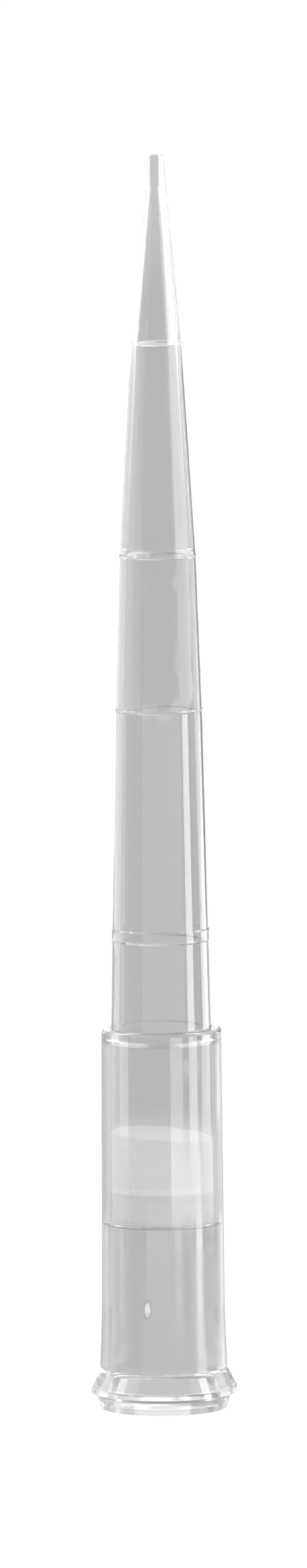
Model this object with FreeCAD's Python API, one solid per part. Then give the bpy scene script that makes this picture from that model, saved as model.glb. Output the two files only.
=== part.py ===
"""Filter pipette tip: a moulded polypropylene tip body with a porous filter plug pressed into its collar.

The tip stands on its open end. Z runs up the axis, from the open end at 0 to the orifice.
All sizes are in millimetres. A rise is measured from the corner or mark before it, going up.
"""

import FreeCAD
import Part
import math
import os

# Bore of the collar, from the open end up. Steps and drafts are radial.
NOZZLE_BORE_DIAMETER = 5.24     # parallel bore that seals on the pipette's nozzle
NOZZLE_BORE_LENGTH = 6.05
MOUTH_BEVEL = 0.09
MOUTH_BEVEL_RISE = 0.30
LEAD_IN_DRAFT = 0.10            # cone from the mouth's bevel in to the nozzle bore
LEAD_IN_RISE = 2.60
SHELF_WIDTH = 0.11              # the shelf stops the nozzle, and the filter's bore starts there
SHELF_BEVEL = 0.05
FILTER_BORE_DRAFT = 0.08
FLOOR_BEVEL = 0.20
FLOOR_THICKNESS = 0.50          # between the collar's bore and the shoulder

# Collar, outside, from its shoulder down. Widths and drafts are radial.
COLLAR_LENGTH = 18.3            # open end to the shoulder that hangs the tip in its rack
COLLAR_WALL = 0.245             # added to the nozzle bore's radius, gives the collar's top
COLLAR_DRAFT = 0.08             # gained by the radius from the top down to the bell
SHOULDER_ROUNDING = 0.16
BELL_WIDTH = 0.105              # gained from there down to the flange's cone
BELL_RISE = 2.30
BELL_ROUNDING = 80.0

# Flange and skirt, outside, below the bell
FLANGE_WIDTH = 0.44             # from the bell out to the rim
FLARE_RISE = 0.80               # height of the flange's cone
FLARE_ROUNDING = 0.60
RIM_THICKNESS = 0.27
RIM_ROUNDING = 0.10
SKIRT_INSET = 0.28              # from the rim in to the skirt
LEDGE_RISE = 0.16               # height of the sloping ledge between them
SKIRT_DRAFT = 0.22              # lost by the skirt's radius down to the open end
SKIRT_RISE = 0.62

# Barrel, from the shoulder up: the marks divide it, and the taper changes at three of them
SHOULDER_WIDTH = 0.478          # from the collar in to the barrel's root
BARREL_ROOT_WALL = 0.37
FOURTH_MARK_RISE = 4.49
THIRD_MARK_RISE = 10.77
THIRD_MARK_DIAMETER = 4.11
THIRD_MARK_WALL = 0.35
SECOND_MARK_RISE = 7.37
SECOND_MARK_DIAMETER = 3.63
SECOND_MARK_WALL = 0.31
FIRST_MARK_RISE = 10.12
FIRST_MARK_DIAMETER = 2.41
FIRST_MARK_WALL = 0.27
TIP_RISE = 8.95
TIP_DIAMETER = 0.86
TIP_WALL = 0.22
TIP_BEVEL = 0.04
ORIFICE_LAND = 1.50             # parallel bore at the orifice

# Graduation marks: fine raised rings, and a flat raised band for the fourth
MARK_HEIGHT = 0.035
MARK_WIDTH = 0.17
MARK_ROUNDING = 0.10
BAND_WIDTH = 0.64
BAND_EDGE_WIDTH = 0.08

# Gate vestige: a low oval pad on the collar
GATE_HEIGHT_ON_COLLAR = 5.05
GATE_BEARING = 255.8            # degrees round the axis from +X
GATE_WIDTH = 0.34
GATE_LENGTH = 0.70
GATE_PROUD = 0.045

# Filter plug: a seated part, which fills the bore, and a narrower end below it
FILTER_SEATED_LENGTH = 3.05
FILTER_SEATED_HEIGHT = 1.25     # middle of the seated part's lower face, above the shelf
FILTER_END_HEIGHT = 0.14        # middle of the plug's lower face, above the shelf
FILTER_END_INSET = 0.10         # radial step in from the bore to the narrower end
FILTER_END_TAPER = 0.06         # what the narrower end's radius loses along its length
FILTER_END_ROOT = 0.30          # how far the narrower end reaches into the seated part
FILTER_TILT = 4.5               # degrees: the seated part sits askew, lower on the +X side
FILTER_END_TILT = 2.0           # degrees: so does the narrower end, but less
FILTER_FIT_CLEARANCE = 0.01
FILTER_EDGE_BEVEL = 0.10

AXIS = FreeCAD.Vector(0, 0, 1)
ORIGIN = FreeCAD.Vector(0, 0, 0)


def point(radius, height):
    """A point of a half section, in the XZ plane."""
    return FreeCAD.Vector(radius, 0, height)


def rounded_outline(corners):
    """A closed wire through (radius, height, rounding) corners, each rounded by a tangent arc."""
    places = [point(radius, height) for radius, height, _ in corners]
    starts, ends, middles = [], [], []
    for i, corner in enumerate(places):
        back = places[i - 1] - corner
        ahead = places[(i + 1) % len(places)] - corner
        rounding = corners[i][2]
        half_angle = back.getAngle(ahead) / 2
        # An arc never takes more than 0.45 of a side, so that two of them fit on it.
        reach = min(rounding / math.tan(half_angle), 0.45 * min(back.Length, ahead.Length))
        back.normalize()
        ahead.normalize()
        starts.append(corner + back * reach)
        ends.append(corner + ahead * reach)
        to_centre = (back + ahead).normalize() if rounding else FreeCAD.Vector()
        radius = reach * math.tan(half_angle)
        middles.append(corner + to_centre * (reach / math.cos(half_angle) - radius))
    edges = []
    for i, (start, middle, end) in enumerate(zip(starts, middles, ends)):
        if corners[i][2]:
            edges.append(Part.Arc(start, middle, end).toShape())
        edges.append(Part.LineSegment(end, starts[(i + 1) % len(starts)]).toShape())
    return Part.Wire(edges)


def turned(corners):
    """The solid of revolution of a closed half section."""
    return Part.Face(rounded_outline(corners)).revolve(ORIGIN, AXIS, 360)


def along(low, high, height):
    """The radius at a height on the straight line between two (radius, height, ...) corners."""
    share = (height - low[1]) / (high[1] - low[1])
    return low[0] + share * (high[0] - low[0])


def collar_outside():
    """Corners of the outside from the open end up to the shoulder's rounded edge."""
    rim_low = SKIRT_RISE + LEDGE_RISE
    rim_high = rim_low + RIM_THICKNESS
    flare = rim_high + FLARE_RISE
    top = NOZZLE_BORE_DIAMETER / 2 + COLLAR_WALL
    bell = top + COLLAR_DRAFT
    neck = bell + BELL_WIDTH
    rim = neck + FLANGE_WIDTH
    skirt = rim - SKIRT_INSET
    return [
        (skirt - SKIRT_DRAFT, 0, 0),
        (skirt, SKIRT_RISE, 0),
        (rim, rim_low, 0),
        (rim, rim_high, RIM_ROUNDING),
        (neck, flare, FLARE_ROUNDING),
        (bell, flare + BELL_RISE, BELL_ROUNDING),
        (top, COLLAR_LENGTH, SHOULDER_ROUNDING),
    ]


def barrel_outside():
    """Corners of the barrel's outside, from the shoulder up to the orifice, with no marks."""
    third = COLLAR_LENGTH + FOURTH_MARK_RISE + THIRD_MARK_RISE
    second = third + SECOND_MARK_RISE
    first = second + FIRST_MARK_RISE
    return [
        (collar_outside()[-1][0] - SHOULDER_WIDTH, COLLAR_LENGTH, 0),
        (THIRD_MARK_DIAMETER / 2, third, 0),
        (SECOND_MARK_DIAMETER / 2, second, 0),
        (FIRST_MARK_DIAMETER / 2, first, 0),
        (TIP_DIAMETER / 2, first + TIP_RISE, 0),
    ]


def ring_mark(low, ring, high):
    """The three corners of a raised ring centred on a corner of the barrel's outside."""
    below = ring[1] - MARK_WIDTH / 2
    above = ring[1] + MARK_WIDTH / 2
    return [
        (along(low, ring, below), below, 0),
        (ring[0] + MARK_HEIGHT, ring[1], MARK_ROUNDING),
        (along(ring, high, above), above, 0),
    ]


def band_mark(low, high, middle):
    """The four corners of a raised band between two corners of the barrel's outside."""
    below = middle - BAND_WIDTH / 2
    above = middle + BAND_WIDTH / 2
    flat_low = below + BAND_EDGE_WIDTH
    flat_high = above - BAND_EDGE_WIDTH
    return [
        (along(low, high, below), below, 0),
        (along(low, high, flat_low) + MARK_HEIGHT, flat_low, 0),
        (along(low, high, flat_high) + MARK_HEIGHT, flat_high, 0),
        (along(low, high, above), above, 0),
    ]


def marked_barrel_outside():
    """The barrel's outside with its four graduation marks."""
    rings = barrel_outside()
    root, third, tip = rings[0], rings[1], rings[-1]
    outside = [root] + band_mark(root, third, COLLAR_LENGTH + FOURTH_MARK_RISE)
    for low, ring, high in zip(rings, rings[1:], rings[2:]):
        outside += ring_mark(low, ring, high)
    return outside + [
        (along(rings[-2], tip, tip[1] - TIP_BEVEL), tip[1] - TIP_BEVEL, 0),
        (tip[0] - TIP_BEVEL, tip[1], 0),
    ]


def barrel_bore():
    """Corners of the barrel's bore, from the orifice down to the floor of the collar."""
    walls = [BARREL_ROOT_WALL, THIRD_MARK_WALL, SECOND_MARK_WALL, FIRST_MARK_WALL, TIP_WALL]
    root, third, second, first, tip = [
        (radius - wall, height, 0)
        for (radius, height, _), wall in zip(barrel_outside(), walls)
    ]
    floor = COLLAR_LENGTH - FLOOR_THICKNESS
    return [
        tip,
        (tip[0], tip[1] - ORIFICE_LAND, 0),
        first,
        second,
        third,
        root,
        (along(root, third, floor), floor, 0),
    ]


def filter_bore():
    """The tapered bore that holds the filter: its corners at the shelf and at the floor."""
    shelf = MOUTH_BEVEL_RISE + LEAD_IN_RISE + NOZZLE_BORE_LENGTH
    radius = NOZZLE_BORE_DIAMETER / 2 - SHELF_WIDTH
    return (radius, shelf, 0), (radius - FILTER_BORE_DRAFT, COLLAR_LENGTH - FLOOR_THICKNESS, 0)


def collar_bore():
    """Corners of the collar's bore, from the floor down to the open end."""
    shelf, floor = filter_bore()
    nozzle = NOZZLE_BORE_DIAMETER / 2
    lead_in = nozzle + LEAD_IN_DRAFT
    bevel = floor[1] - FLOOR_BEVEL
    return [
        (floor[0] - FLOOR_BEVEL, floor[1], 0),
        (along(shelf, floor, bevel), bevel, 0),
        (along(shelf, floor, shelf[1] + SHELF_BEVEL), shelf[1] + SHELF_BEVEL, 0),
        (shelf[0] + SHELF_BEVEL, shelf[1], 0),
        (nozzle, shelf[1], 0),
        (nozzle, shelf[1] - NOZZLE_BORE_LENGTH, 0),
        (lead_in, MOUTH_BEVEL_RISE, 0),
        (lead_in + MOUTH_BEVEL, 0, 0),
    ]


def gate_vestige():
    """The low oval pad left by the mould's gate, standing radially on the collar's wall."""
    neck, bell, top = collar_outside()[-3:]
    below, above = (neck, bell) if GATE_HEIGHT_ON_COLLAR < bell[1] else (bell, top)
    wall = along(below, above, GATE_HEIGHT_ON_COLLAR)
    oval = Part.Ellipse(ORIGIN, GATE_LENGTH / 2, GATE_WIDTH / 2).toShape()
    pad = Part.Face(Part.Wire([oval])).extrude(AXIS * (wall + GATE_PROUD))
    pad.rotate(ORIGIN, FreeCAD.Vector(0, 1, 0), 90)
    pad.rotate(ORIGIN, AXIS, GATE_BEARING)
    pad.translate(AXIS * GATE_HEIGHT_ON_COLLAR)
    # Its outer face follows the wall, and its inner end stops half way into the wall.
    inner = (wall + NOZZLE_BORE_DIAMETER / 2) / 2
    base = FreeCAD.Vector(0, 0, GATE_HEIGHT_ON_COLLAR - GATE_LENGTH)
    skin = Part.makeCylinder(wall + GATE_PROUD, 2 * GATE_LENGTH, base)
    return pad.common(skin.cut(Part.makeCylinder(inner, 2 * GATE_LENGTH, base)))


def tip_body():
    """The moulded body: collar, shoulder, barrel and gate vestige, as one piece."""
    shell = turned(collar_outside() + marked_barrel_outside() + barrel_bore() + collar_bore())
    return shell.fuse(gate_vestige()).removeSplitter()


def tilted(solid, angle, height):
    """A solid turned about Y by an angle in degrees, and then raised to a height."""
    solid.rotate(ORIGIN, FreeCAD.Vector(0, 1, 0), angle)
    solid.translate(AXIS * height)
    return solid


def seated_filter(shelf, floor):
    """The part of the plug that fills the bore: a tilted slice of it, with bevelled edges."""
    clear = [(radius - FILTER_FIT_CLEARANCE, height, 0) for radius, height, _ in (shelf, floor)]
    bore = turned([(0, shelf[1], 0), *clear, (0, floor[1], 0)])
    slab = Part.makeCylinder(NOZZLE_BORE_DIAMETER, FILTER_SEATED_LENGTH)
    seated = bore.common(tilted(slab, FILTER_TILT, shelf[1] + FILTER_SEATED_HEIGHT))
    rims = [edge for edge in seated.Edges if len(edge.Vertexes) == 1]
    return seated.makeChamfer(FILTER_EDGE_BEVEL, rims)


def filter_end(shelf):
    """The plug's narrower lower end, with a root inside its seated part."""
    length = FILTER_SEATED_HEIGHT + FILTER_END_ROOT - FILTER_END_HEIGHT
    wide = shelf[0] - FILTER_END_INSET
    cone = Part.makeCone(wide - FILTER_END_TAPER, wide, length)
    rim = [edge for edge in cone.Edges if edge.BoundBox.ZMax < length / 2]
    end = cone.makeChamfer(FILTER_EDGE_BEVEL, rim)
    return tilted(end, FILTER_END_TILT, shelf[1] + FILTER_END_HEIGHT)


def filter_plug():
    """The porous plug, as one piece."""
    shelf, floor = filter_bore()
    return seated_filter(shelf, floor).fuse(filter_end(shelf)).removeSplitter()


def main():
    os.makedirs("parts", exist_ok=True)
    for name, make in (("tip_body", tip_body), ("filter_plug", filter_plug)):
        solid = make()
        print(name, "valid", solid.isValid(), "solids", len(solid.Solids),
              "volume", round(solid.Volume, 3), "box", solid.BoundBox)
        solid.exportStep(f"parts/{name}.step")


main()
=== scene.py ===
"""Filter pipette tip: finish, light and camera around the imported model. Metres, +Z up."""

import math

import bpy
from mathutils import Matrix, Vector


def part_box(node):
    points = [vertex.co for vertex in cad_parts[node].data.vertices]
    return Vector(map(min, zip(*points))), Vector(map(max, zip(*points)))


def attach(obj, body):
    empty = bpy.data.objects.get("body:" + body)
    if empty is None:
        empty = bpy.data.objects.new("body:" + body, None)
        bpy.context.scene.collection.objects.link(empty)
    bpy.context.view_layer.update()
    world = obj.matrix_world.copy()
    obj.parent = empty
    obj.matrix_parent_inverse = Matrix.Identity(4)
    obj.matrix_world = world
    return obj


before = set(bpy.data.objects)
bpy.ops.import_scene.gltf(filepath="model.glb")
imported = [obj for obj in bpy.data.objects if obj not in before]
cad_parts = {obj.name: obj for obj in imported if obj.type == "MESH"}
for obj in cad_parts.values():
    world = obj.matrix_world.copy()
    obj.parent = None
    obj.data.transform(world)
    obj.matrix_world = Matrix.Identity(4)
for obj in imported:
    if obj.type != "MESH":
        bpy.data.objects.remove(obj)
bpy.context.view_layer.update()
MM = 0.001

# Camera
CAMERA_DISTANCE = 0.665         # from the tip's middle, along the ground
CAMERA_HEIGHT = 0.103           # above the floor
FRAME_HEIGHT = 0.0747           # what the frame's long side covers at the tip
SENSOR = 36.0
ROLL = math.radians(0.46)
SIDE_OFFSET = 0.00027           # the tip stands this far right of the frame's middle
AIM_HEIGHT = 0.02998
CLIP_START = 0.01

# Floor
FLOOR_HALF_SIDE = 3.0
FLOOR_DROP = 0.05 * MM          # keeps the floor off the open end's face
FLOOR_COLOUR = 0.9
FLOOR_GLOW = 0.15               # lifts the floor to white where the camera, gloss and glass see it

# Light: an even white all round, and softboxes and dark flags that only gloss shows. Each panel
# has its first and last azimuth, with 0 on the camera's side and positive to its right, its
# lowest and highest elevation, all in degrees, and what it adds to the white.
WHITE = 1.0
# These show on the collar. Its draft lifts what its front mirrors more than what its sides mirror,
# so they sink towards the back by COLLAR_DRAFT, and their ends look level on it.
COLLAR_PANELS = {
    "foot_front": (-32, 17, -12.0, -7.45, 2.8),
    "foot_second": (23, 36, -12.0, -7.45, 3.2),
    "foot_third": (50, 57, -12.0, -7.45, 0.3),
    "right_foot": (67, 81, -12.0, -7.45, 11.5),
    "right_foot_flag": (83, 118, -12.0, -7.45, -0.9),
    "right_foot_back": (138, 158, -12.0, -7.45, 0.7),
    "filter_left": (-110, -67, -7.44, -7.06, 0.9),
    "filter_front": (17, 78, -7.43, -7.065, 4.5),
    "filter_back": (78, 114, -7.43, -7.065, 2.6),
    "collar_front": (17, 41, -7.065, -6.2, 3.2),
    "collar_first_flag": (44, 53, -7.065, -6.2, -0.7),
    "collar_middle": (55, 73, -7.065, -6.2, 5.8),
    "collar_second_flag": (75, 82, -7.065, -6.2, -0.3),
    "collar_back": (84, 107, -7.065, -6.2, 3.7),
    "collar_third_flag": (109, 126, -7.065, -6.2, -0.9),
    "collar_edge": (134, 160, -7.45, -6.2, 0.6),
    "left_foot": (-92, -79, -12.0, -7.45, 2.4),
    "left_foot_back": (-137, -92, -12.0, -7.45, 0.8),
    "left_collar": (-88, -67, -7.06, -6.2, 3.3),
    "left_collar_back": (-110, -88, -7.06, -6.2, 1.4),
    "left_collar_flag": (-150, -130, -7.45, -6.2, -0.4),
}
COLLAR_DRAFT = 0.61             # twice the collar's draft, in degrees
# These show on the barrel, the bell, the marks and the skirt.
PANELS = {
    "barrel_front": (-43, 58, -6.2, -3.5, 1.0),
    "bell_front": (-43, 58, -3.5, -2.35, 2.4),
    "right_barrel": (65, 84, -6.2, -3.5, 7.4),
    "right_barrel_flag": (86, 111, -6.2, -3.5, -0.9),
    "right_barrel_low": (113, 146, -6.6, -5.4, 2.6),
    "right_barrel_high": (113, 146, -5.4, -4.4, 0.9),
    "right_lower": (59, 112, -3.5, -1.0, 2.3),
    "right_middle": (59, 112, -1.0, 2.2, 3.0),
    "right_upper": (59, 110, 2.2, 12.0, 5.0),
    "right_upper_back": (112, 150, 1.8, 6.0, 2.5),
    "right_marks": (56, 110, 12.0, 44.0, 1.5),
    "right_flare": (74, 90, 30.0, 43.0, 7.0),
    "right_edge": (150, 179, -6.2, 12.0, -0.6),
    "left_barrel": (-135, -98, -6.2, -3.5, 0.7),
    "left_middle": (-100, -50, -3.5, 2.2, 0.6),
    "left_middle_back": (-135, -76, -3.5, 2.2, 0.5),
    "left_upper": (-104, -45, 7.0, 12.0, 4.2),
    "left_upper_back": (-150, -106, 1.8, 6.0, 1.5),
    "left_marks": (-110, -25, 12.0, 44.0, 1.5),
    "left_flare": (-93, -77, 30.0, 43.0, 5.0),
    "left_edge": (-178, -136, -6.2, 2.2, 1.0),
    "skirt": (-65, 58, -70.0, -30.0, 4.2),
}
AZIMUTH_SOFTNESS = 1.2          # half the width in which a panel fades out, in degrees
ELEVATION_SOFTNESS = 0.05

# Polypropylene
PLASTIC_IOR = 1.49
PLASTIC_TRANSMISSION = 0.95
CLEAR_TINT = 0.94               # polished outside and mouth
BORE_TINT = 0.435               # matt bore
END_TINT = 0.53                 # the matt bore's tint where it is finest, up from END_RISE
END_RISE = (0.0520, 0.0590)
INSIDE_SOFTNESS = 0.2           # how far a surface has to face the axis, or away, to count fully
MOST_TURNS = 4.5                # a ray that turns more often in the plastic goes straight on
STRAIGHT_TINT = 0.995           # what such a ray keeps, and one that only casts a shadow
# How clear the outside looks by how far it turns away, from 0 facing to 1 edge on: the light
# that crosses there runs a long way inside the wall.
EDGE_TINTS = ((0.38, 0.94), (0.46, 0.40), (0.66, 0.36), (0.78, 0.05))
# Below each height here, the edges start that much later, because the wall there is thinner for
# its size.
EDGE_SHIFTS = ((0.0182, 0.045), (0.0090, 0.040), (0.0050, -0.030), (0.0020, 0.070))
EDGE_SHIFT_SOFTNESS = 0.1 * MM
EDGE_CLEARING = (0.049, 0.053)  # between these heights the edges clear up, so the fine end has none
# Heights where the light runs a long way inside the plastic, with painted shade there besides:
# bands that darken the outside for the dark lines at the skirt, the rim, the flange, the shelf and
# the shoulder. The lowest and highest, the outside's tint there, and from how far turned away it
# counts, or 0 for everywhere.
THICK_AND_SHADED_PLACES = (
    (-0.00020, 0.00050, 0.80, 0.20),
    (0.00022, 0.00058, 0.82, 0.0),
    (0.00098, 0.00105, 0.75, 0.0),
    (0.00105, 0.00190, 0.66, 0.0),
    (0.00892, 0.00906, 0.45, 0.0),
    (0.01762, 0.01786, 0.68, 0.0),
    (0.01795, 0.01822, 0.60, 0.16),
)
SHADED_PLACE_SOFTNESS = 0.03 * MM
SHADED_PLACE_START_SOFTNESS = 0.01
CLEAR_ROUGHNESS = 0.03
BORE_ROUGHNESS = 0.10
BELL_ROUGHNESS = 0.16           # the outside of the bell and the lower collar is less polished
BELL_RISE = (0.0019, 0.0022)    # the heights where that comes in, and where it fades out
BELL_FALL = (0.0084, 0.0074)
MOUTH_RISE = (0.00084, 0.00088)  # the bore is polished below these heights and matt above them
# The matt bore is a little clearer where the filter presses on it, and loses that above it.
SEAT_CLEARNESS = 0.20
SEAT_SOFTNESS = 0.05 * MM
SEAT_FADE = (0.0142, 0.0134)
# A highlight is painted in a line at each mark by clearing the matt bore there: its height and how
# clear it is.
MARK_HIGHLIGHT_LINES = ((0.05105, 1.0), (0.04093, 0.2), (0.03356, 0.1))
MARK_HIGHLIGHT_HALF_WIDTH = 0.07 * MM
# Just above one mark the outside is steeper: from the higher to the lower of these heights it
# steps out by so much.
MARK_STEP = (0.04130, 0.04088)
MARK_STEP_DEPTH = 0.034 * MM
# The gate vestige on the front: its x and z, and how far it reaches each way. The bore is cleared
# behind it, a painted highlight for the gate's glint, and darkened in a rim around that, painted
# shade for the glint's dark outline. The other numbers are squares of distances in reaches.
GATE_PLACE = (-0.00072, 0.00505)
GATE_REACH = (0.00013, 0.00035)
GATE_SOFTNESS = 0.2
GATE_SHADE_RIM = 2.0
GATE_SHADE_RIM_SOFTNESS = 0.3
GATE_RIM_PAINTED_SHADE = 0.62
# Faint flow lines in the matt bore: how many a metre around and along, and how strong.
FLOW_AROUND = 1400
FLOW_ALONG = 90
FLOW_DETAIL = 2.0
FLOW_TINT = 0.05
FLOW_ROUGHNESS = 0.05

# Filter
# Its tone at the bottom, darker as painted shade, then the heights between which it changes and its
# tone above them, first a painted highlight line and then its own tone, and its tone on the top
# face, lighter as painted light from above.
FILTER_SHADED_BOTTOM_TONE = 0.77
FILTER_HIGHLIGHT_AND_BODY_TONES = ((0.01048, 0.01058, 0.95), (0.01070, 0.01088, 0.865))
FILTER_LIT_TOP_TONE = 0.95
FILTER_LIT_TOP_TURN = (0.3, 0.7)    # how far a face looks up before it counts as the top
FILTER_ROUGHNESS = 0.85
GRAINS = 5200                   # grains a metre
GRAIN_DETAIL = 3.0
GRAIN_TONE = 0.10
GRAIN_DEPTH = 0.03 * MM
GRAIN_STRENGTH = 0.5
FILTER_SHRINK = 0.03 * MM       # keeps the filter's facets inside the bore's
WELD_DISTANCE = 0.001 * MM


class Nodes:
    """Builds a node tree line by line."""

    def __init__(self, tree):
        self.tree = tree
        tree.nodes.clear()

    def add(self, kind, **settings):
        node = self.tree.nodes.new(kind)
        for key, value in settings.items():
            setattr(node, key, value)
        return node

    def link(self, source, target):
        self.tree.links.new(source, target)

    def give(self, value, target):
        """Links a socket to target, or writes a number or colour there."""
        if isinstance(value, bpy.types.NodeSocket):
            self.link(value, target)
        else:
            target.default_value = value


def material(name):
    made = bpy.data.materials.new(name)
    made.use_nodes = True
    return made, Nodes(made.node_tree)


def principled(nodes, **sockets):
    shader = nodes.add("ShaderNodeBsdfPrincipled")
    for key, value in sockets.items():
        shader.inputs[key.replace("_", " ")].default_value = value
    return shader


def grey(value):
    return (value, value, value, 1)


def arithmetic(nodes, operation, *values):
    """A Math node on numbers and sockets."""
    node = nodes.add("ShaderNodeMath", operation=operation)
    for slot, value in zip(node.inputs, values):
        nodes.give(value, slot)
    return node.outputs[0]


def product(nodes, first, *others):
    for other in others:
        first = arithmetic(nodes, "MULTIPLY", first, other)
    return first


def remainder(nodes, mask, share=1.0):
    """1 without the mask's share."""
    return arithmetic(nodes, "MULTIPLY_ADD", mask, -share, 1.0)


def blend(nodes, factor, low, high, kind="FLOAT"):
    """A value or colour that goes from low to high with factor."""
    mix = nodes.add("ShaderNodeMix", data_type=kind)
    first, second, result = {"FLOAT": (2, 3, 0), "RGBA": (6, 7, 2)}[kind]
    nodes.link(factor, mix.inputs[0])
    nodes.give(low, mix.inputs[first])
    nodes.give(high, mix.inputs[second])
    return mix.outputs[result]


def step(nodes, value, low, high):
    """0 below low, 1 above high and smooth between. With low above high it falls instead."""
    ramp = nodes.add("ShaderNodeMapRange", interpolation_type="SMOOTHSTEP")
    nodes.link(value, ramp.inputs["Value"])
    ramp.inputs["From Min"].default_value = min(low, high)
    ramp.inputs["From Max"].default_value = max(low, high)
    if low > high:
        ramp.inputs["To Min"].default_value = 1
        ramp.inputs["To Max"].default_value = 0
    return ramp.outputs[0]


def span(nodes, value, low, high, softness):
    """1 between low and high and 0 beyond them, with soft ends."""
    return product(nodes, step(nodes, value, low - softness, low + softness),
                   step(nodes, value, high + softness, high - softness))


def separate(nodes, vector):
    """The x, y and z sockets of a vector."""
    split = nodes.add("ShaderNodeSeparateXYZ")
    nodes.link(vector, split.inputs[0])
    return split.outputs[0], split.outputs[1], split.outputs[2]


def place(nodes):
    """A point's place in the part's frame."""
    return nodes.add("ShaderNodeTexCoord").outputs["Object"]


def noise(nodes, around, along, detail):
    """An even noise in the part's frame, about 0.5, that repeats so often a metre."""
    scaled = nodes.add("ShaderNodeMapping")
    scaled.inputs["Scale"].default_value = (around, around, along)
    nodes.link(place(nodes), scaled.inputs["Vector"])
    made = nodes.add("ShaderNodeTexNoise")
    made.inputs["Scale"].default_value = 1.0
    made.inputs["Detail"].default_value = detail
    nodes.link(scaled.outputs[0], made.inputs["Vector"])
    return made.outputs[0]


def varied(nodes, value, pattern, amount):
    """The value, raised and lowered with a pattern about 0.5."""
    return product(nodes, value,
                   arithmetic(nodes, "MULTIPLY_ADD", pattern, 2 * amount, 1 - amount))


def bump(nodes, height, strength, depth):
    node = nodes.add("ShaderNodeBump")
    node.inputs["Strength"].default_value = strength
    node.inputs["Distance"].default_value = depth
    nodes.link(height, node.inputs["Height"])
    return node.outputs[0]


def show(nodes, surface, kind="ShaderNodeOutputMaterial"):
    """Sends a surface to the tree's output."""
    nodes.link(surface, nodes.add(kind).inputs["Surface"])


def inside_mask(nodes):
    """1 on surfaces that face the axis, such as the bore, and 0 on those that face away from it."""
    outward = nodes.add("ShaderNodeVectorMath", operation="MULTIPLY")
    nodes.link(place(nodes), outward.inputs[0])
    outward.inputs[1].default_value = (1, 1, 0)
    unit = nodes.add("ShaderNodeVectorMath", operation="NORMALIZE")
    nodes.link(outward.outputs[0], unit.inputs[0])
    geometry = nodes.add("ShaderNodeNewGeometry")
    facing = nodes.add("ShaderNodeVectorMath", operation="DOT_PRODUCT")
    nodes.link(geometry.outputs["True Normal"], facing.inputs[0])
    nodes.link(unit.outputs[0], facing.inputs[1])
    flip = nodes.add("ShaderNodeMapRange")
    nodes.link(geometry.outputs["Backfacing"], flip.inputs["Value"])
    flip.inputs["To Min"].default_value = 1
    flip.inputs["To Max"].default_value = -1
    mask = nodes.add("ShaderNodeMapRange")
    nodes.link(product(nodes, facing.outputs["Value"], flip.outputs[0]), mask.inputs["Value"])
    mask.inputs["From Min"].default_value = INSIDE_SOFTNESS
    mask.inputs["From Max"].default_value = -INSIDE_SOFTNESS
    return mask.outputs[0]


def edge_tint(nodes, z):
    """The outside's tint: clear where it faces the eye and dark at its edges, with bands of painted
    shade at some heights.
    """
    turned = shifted = nodes.add("ShaderNodeLayerWeight").outputs["Facing"]
    for height, shift in EDGE_SHIFTS:
        below = step(nodes, z, height + EDGE_SHIFT_SOFTNESS, height - EDGE_SHIFT_SOFTNESS)
        shifted = arithmetic(nodes, "MULTIPLY_ADD", below, -shift, shifted)
    ramp = nodes.add("ShaderNodeValToRGB")
    nodes.link(shifted, ramp.inputs[0])
    stops = ramp.color_ramp.elements
    while len(stops) < len(EDGE_TINTS):
        stops.new(0.5)
    for stop, (position, level) in zip(stops, EDGE_TINTS):
        stop.position = position
        stop.color = grey(level)
    tint = blend(nodes, step(nodes, z, *EDGE_CLEARING), ramp.outputs[0], grey(CLEAR_TINT), "RGBA")
    backfacing = nodes.add("ShaderNodeNewGeometry").outputs["Backfacing"]
    entering = remainder(nodes, backfacing)
    # Bands of painted shade on the outside at given heights.
    for low, high, level, start in THICK_AND_SHADED_PLACES:
        shaded_place = product(nodes, span(nodes, z, low, high, SHADED_PLACE_SOFTNESS), entering)
        if start > 0:
            shaded_place = product(nodes, shaded_place, step(nodes, turned, start - SHADED_PLACE_START_SOFTNESS,
                                               start + SHADED_PLACE_START_SOFTNESS))
        darker = nodes.add("ShaderNodeMix", data_type="RGBA", blend_type="MULTIPLY")
        nodes.link(shaded_place, darker.inputs[0])
        nodes.link(tint, darker.inputs[6])
        darker.inputs[7].default_value = grey(level)
        tint = darker.outputs[2]
    return tint


def gate_glint_masks(nodes):
    """Masks of the gate vestige, with the bore behind it where its glint is painted, and of the rim
    around them where the glint's dark outline is painted as shade.
    """
    x, y, z = separate(nodes, place(nodes))
    distance = 0.0
    for value, middle, reach in zip((x, z), GATE_PLACE, GATE_REACH):
        away = arithmetic(nodes, "DIVIDE", arithmetic(nodes, "SUBTRACT", value, middle), reach)
        distance = arithmetic(nodes, "MULTIPLY_ADD", away, away, distance)
    front = step(nodes, y, 0.0, -MM)
    inner, outer = [product(nodes, step(nodes, distance, edge + softness, edge - softness), front)
                    for edge, softness in ((1.0, GATE_SOFTNESS), (GATE_SHADE_RIM, GATE_SHADE_RIM_SOFTNESS))]
    return inner, arithmetic(nodes, "SUBTRACT", outer, inner)


def matt_bore(nodes, z, gate):
    """1 on the bore's matt lengths, and less in the mouth, at the gate, where its glint is painted,
    and in a line at marks, where highlights are painted.
    """
    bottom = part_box("filter_plug")[0][2]
    seat = product(nodes, step(nodes, z, bottom - SEAT_SOFTNESS, bottom + SEAT_SOFTNESS),
                   step(nodes, z, *SEAT_FADE))
    matt = product(nodes, step(nodes, z, *MOUTH_RISE), remainder(nodes, seat, SEAT_CLEARNESS))
    # Each mark clears the bore in a line: a painted highlight.
    for height, clearness in MARK_HIGHLIGHT_LINES:
        away = arithmetic(nodes, "ABSOLUTE", arithmetic(nodes, "SUBTRACT", z, height))
        line = step(nodes, away, 1.5 * MARK_HIGHLIGHT_HALF_WIDTH, 0.5 * MARK_HIGHLIGHT_HALF_WIDTH)
        matt = product(nodes, matt, remainder(nodes, line, clearness))
    # Clearing the bore at the gate paints the gate's glint as a highlight.
    return product(nodes, matt, remainder(nodes, gate), inside_mask(nodes))


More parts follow.
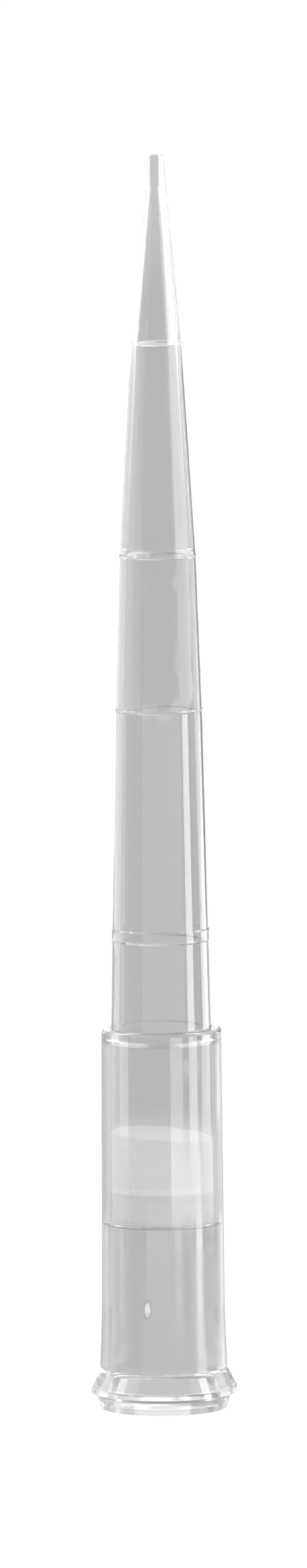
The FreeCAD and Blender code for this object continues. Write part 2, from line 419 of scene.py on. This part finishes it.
def polypropylene():
    """Moulded polypropylene. The polished outside is clear, and the matt bore takes more light. A
    glint is painted at the gate, highlights in lines at the marks, and shade in bands on the
    outside.
    """
    made, nodes = material("clear_polypropylene")
    shader = principled(nodes, IOR=PLASTIC_IOR, Transmission_Weight=PLASTIC_TRANSMISSION)
    z = separate(nodes, place(nodes))[2]
    gate, rim = gate_glint_masks(nodes)
    matt = matt_bore(nodes, z, gate)
    flow = noise(nodes, FLOW_AROUND, FLOW_ALONG, FLOW_DETAIL)

    bore = blend(nodes, step(nodes, z, *END_RISE), BORE_TINT, END_TINT)
    # The rim around the gate darkens the bore: painted shade for the glint's dark outline.
    bore = product(nodes, varied(nodes, bore, flow, FLOW_TINT),
                   remainder(nodes, rim, 1 - GATE_RIM_PAINTED_SHADE))
    nodes.link(blend(nodes, matt, edge_tint(nodes, z), bore, "RGBA"), shader.inputs["Base Color"])

    bell = product(nodes, step(nodes, z, *BELL_RISE), step(nodes, z, *BELL_FALL),
                   remainder(nodes, gate))
    outside = blend(nodes, bell, CLEAR_ROUGHNESS, BELL_ROUGHNESS)
    inside = arithmetic(nodes, "MULTIPLY_ADD", flow, FLOW_ROUGHNESS,
                        BORE_ROUGHNESS - FLOW_ROUGHNESS / 2)
    nodes.link(blend(nodes, matt, outside, inside), shader.inputs["Roughness"])
    slope = bump(nodes, step(nodes, z, *MARK_STEP), 1.0, MARK_STEP_DEPTH)
    nodes.link(slope, shader.inputs["Normal"])

    path = nodes.add("ShaderNodeLightPath")
    straight = nodes.add("ShaderNodeBsdfTransparent")
    straight.inputs["Color"].default_value = grey(STRAIGHT_TINT)
    deep = arithmetic(nodes, "GREATER_THAN", path.outputs["Ray Depth"], MOST_TURNS)
    surface = shader.outputs["BSDF"]
    for case in (deep, path.outputs["Is Diffuse Ray"], path.outputs["Is Shadow Ray"]):
        mix = nodes.add("ShaderNodeMixShader")
        nodes.link(case, mix.inputs[0])
        nodes.link(surface, mix.inputs[1])
        nodes.link(straight.outputs[0], mix.inputs[2])
        surface = mix.outputs[0]
    show(nodes, surface)
    return made


def porous_polyethylene():
    """White sintered polyethylene: matt, with fine grains, painted shade at its bottom, a painted
    highlight line above that and painted light on its top face.
    """
    made, nodes = material("porous_polyethylene")
    shader = principled(nodes, Roughness=FILTER_ROUGHNESS)
    z = separate(nodes, place(nodes))[2]
    # Painted shade at the bottom, then a painted highlight line, then the filter's own tone.
    tone = FILTER_SHADED_BOTTOM_TONE
    for low, high, next_tone in FILTER_HIGHLIGHT_AND_BODY_TONES:
        tone = blend(nodes, step(nodes, z, low, high), tone, next_tone)
    # Faces that look up get a lighter tone: painted light from above.
    normal = nodes.add("ShaderNodeNewGeometry").outputs["True Normal"]
    lit_top = step(nodes, separate(nodes, normal)[2], *FILTER_LIT_TOP_TURN)
    tone = blend(nodes, lit_top, tone, FILTER_LIT_TOP_TONE)
    grain = noise(nodes, GRAINS, GRAINS, GRAIN_DETAIL)
    nodes.link(varied(nodes, tone, grain, GRAIN_TONE), shader.inputs["Base Color"])
    nodes.link(bump(nodes, grain, GRAIN_STRENGTH, GRAIN_DEPTH), shader.inputs["Normal"])
    show(nodes, shader.outputs["BSDF"])
    return made


def make_world():
    """A white studio, with softboxes and flags that only gloss shows."""
    world = bpy.data.worlds.new("studio")
    bpy.context.scene.world = world
    world.use_nodes = True
    world.cycles.sampling_method = "NONE"
    nodes = Nodes(world.node_tree)
    x, y, z = separate(nodes, nodes.add("ShaderNodeTexCoord").outputs["Generated"])
    azimuth = arithmetic(nodes, "ARCTAN2", x, arithmetic(nodes, "MULTIPLY", y, -1.0))
    elevation = arithmetic(nodes, "ARCSINE", z)
    turn = arithmetic(nodes, "COSINE", arithmetic(nodes, "MULTIPLY", azimuth, 0.5))
    draft = math.radians(COLLAR_DRAFT)
    level = arithmetic(nodes, "ADD", elevation,
                       arithmetic(nodes, "MULTIPLY_ADD", turn, -draft, draft))
    strength = WHITE
    for panels, height in ((COLLAR_PANELS, level), (PANELS, elevation)):
        for *angles, added in panels.values():
            first, last, low, high = [math.radians(angle) for angle in angles]
            panel = product(nodes,
                            span(nodes, azimuth, first, last, math.radians(AZIMUTH_SOFTNESS)),
                            span(nodes, height, low, high, math.radians(ELEVATION_SOFTNESS)))
            strength = arithmetic(nodes, "MULTIPLY_ADD", panel, added, strength)
    gloss = nodes.add("ShaderNodeLightPath").outputs["Is Glossy Ray"]
    light = nodes.add("ShaderNodeBackground")
    nodes.link(blend(nodes, gloss, WHITE, strength), light.inputs["Strength"])
    light.inputs["Color"].default_value = grey(1)
    show(nodes, light.outputs[0], "ShaderNodeOutputWorld")


def make_floor():
    side = FLOOR_HALF_SIDE
    mesh = bpy.data.meshes.new("floor")
    mesh.from_pydata([(-side, -side, 0), (side, -side, 0), (side, side, 0), (-side, side, 0)],
                     [], [(0, 1, 2, 3)])
    floor = bpy.data.objects.new("floor", mesh)
    floor.location.z = -FLOOR_DROP
    bpy.context.scene.collection.objects.link(floor)
    made, nodes = material("pale_floor")
    matt = nodes.add("ShaderNodeBsdfDiffuse")
    matt.inputs["Color"].default_value = grey(FLOOR_COLOUR)
    glow = nodes.add("ShaderNodeEmission")
    path = nodes.add("ShaderNodeLightPath")
    seen = arithmetic(nodes, "ADD", path.outputs["Is Camera Ray"], path.outputs["Is Glossy Ray"])
    seen = arithmetic(nodes, "MAXIMUM", seen, path.outputs["Is Transmission Ray"])
    nodes.link(product(nodes, seen, FLOOR_GLOW), glow.inputs["Strength"])
    total = nodes.add("ShaderNodeAddShader")
    nodes.link(matt.outputs[0], total.inputs[0])
    nodes.link(glow.outputs[0], total.inputs[1])
    show(nodes, total.outputs[0])
    mesh.materials.append(made)
    floor.visible_glossy = False


def make_camera():
    data = bpy.data.cameras.new("camera")
    data.sensor_width = SENSOR
    away = Vector((-SIDE_OFFSET, -CAMERA_DISTANCE, CAMERA_HEIGHT))
    aim = Vector((-SIDE_OFFSET, 0, AIM_HEIGHT))
    data.lens = SENSOR * (aim - away).length / FRAME_HEIGHT
    data.clip_start = CLIP_START
    camera = bpy.data.objects.new("camera", data)
    camera.location = away
    turn = (away - aim).to_track_quat("Z", "Y")
    camera.rotation_euler = (turn.to_matrix() @ Matrix.Rotation(-ROLL, 3, "Z")).to_euler()
    bpy.context.scene.collection.objects.link(camera)
    bpy.context.scene.camera = camera


bpy.context.scene.view_settings.view_transform = "Standard"
make_camera()
make_world()
make_floor()

for node, make in (("tip_body", polypropylene), ("filter_plug", porous_polyethylene)):
    made = make()
    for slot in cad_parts[node].material_slots:
        slot.material = made
    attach(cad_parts[node], "root")
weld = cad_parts["filter_plug"].modifiers.new("weld", "WELD")
weld.merge_threshold = WELD_DISTANCE
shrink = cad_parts["filter_plug"].modifiers.new("shrink", "DISPLACE")
shrink.strength = -FILTER_SHRINK
shrink.mid_level = 0
